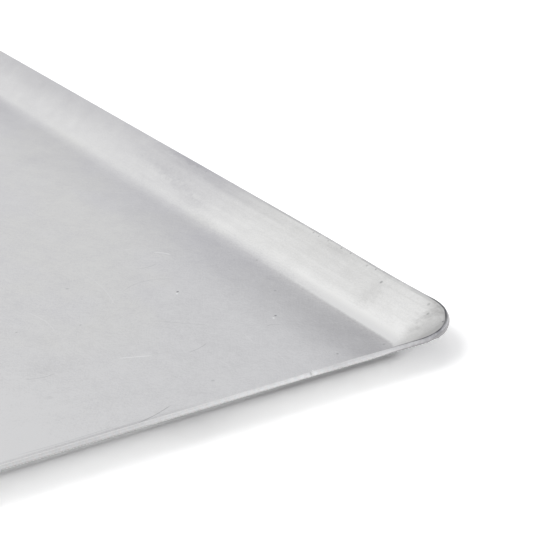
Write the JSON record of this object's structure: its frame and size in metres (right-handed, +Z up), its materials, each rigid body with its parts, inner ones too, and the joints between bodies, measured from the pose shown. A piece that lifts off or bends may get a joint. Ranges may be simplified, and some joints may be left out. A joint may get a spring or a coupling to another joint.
{
  "type": "baking sheet",
  "caption": "Shallow rectangular baking sheet pressed from plain aluminium, with a low rim flared outwards all the way round, rounded corners and an open cut edge.",
  "frame": {"origin": "middle of the sheet's underside, on the surface that it rests on", "axes": "+X along the long sides, +Y along the short sides, +Z up out of the open side"},
  "size_m": [0.4, 0.3, 0.011],
  "materials": {
    "sheet": "plain mill-finish aluminium, satin, with fine rolling grain, light scratches, pits and grey stains from baking"
  },
  "bodies": {
    "root": {"baking_sheet": "sheet"}
  },
  "joints": []
}
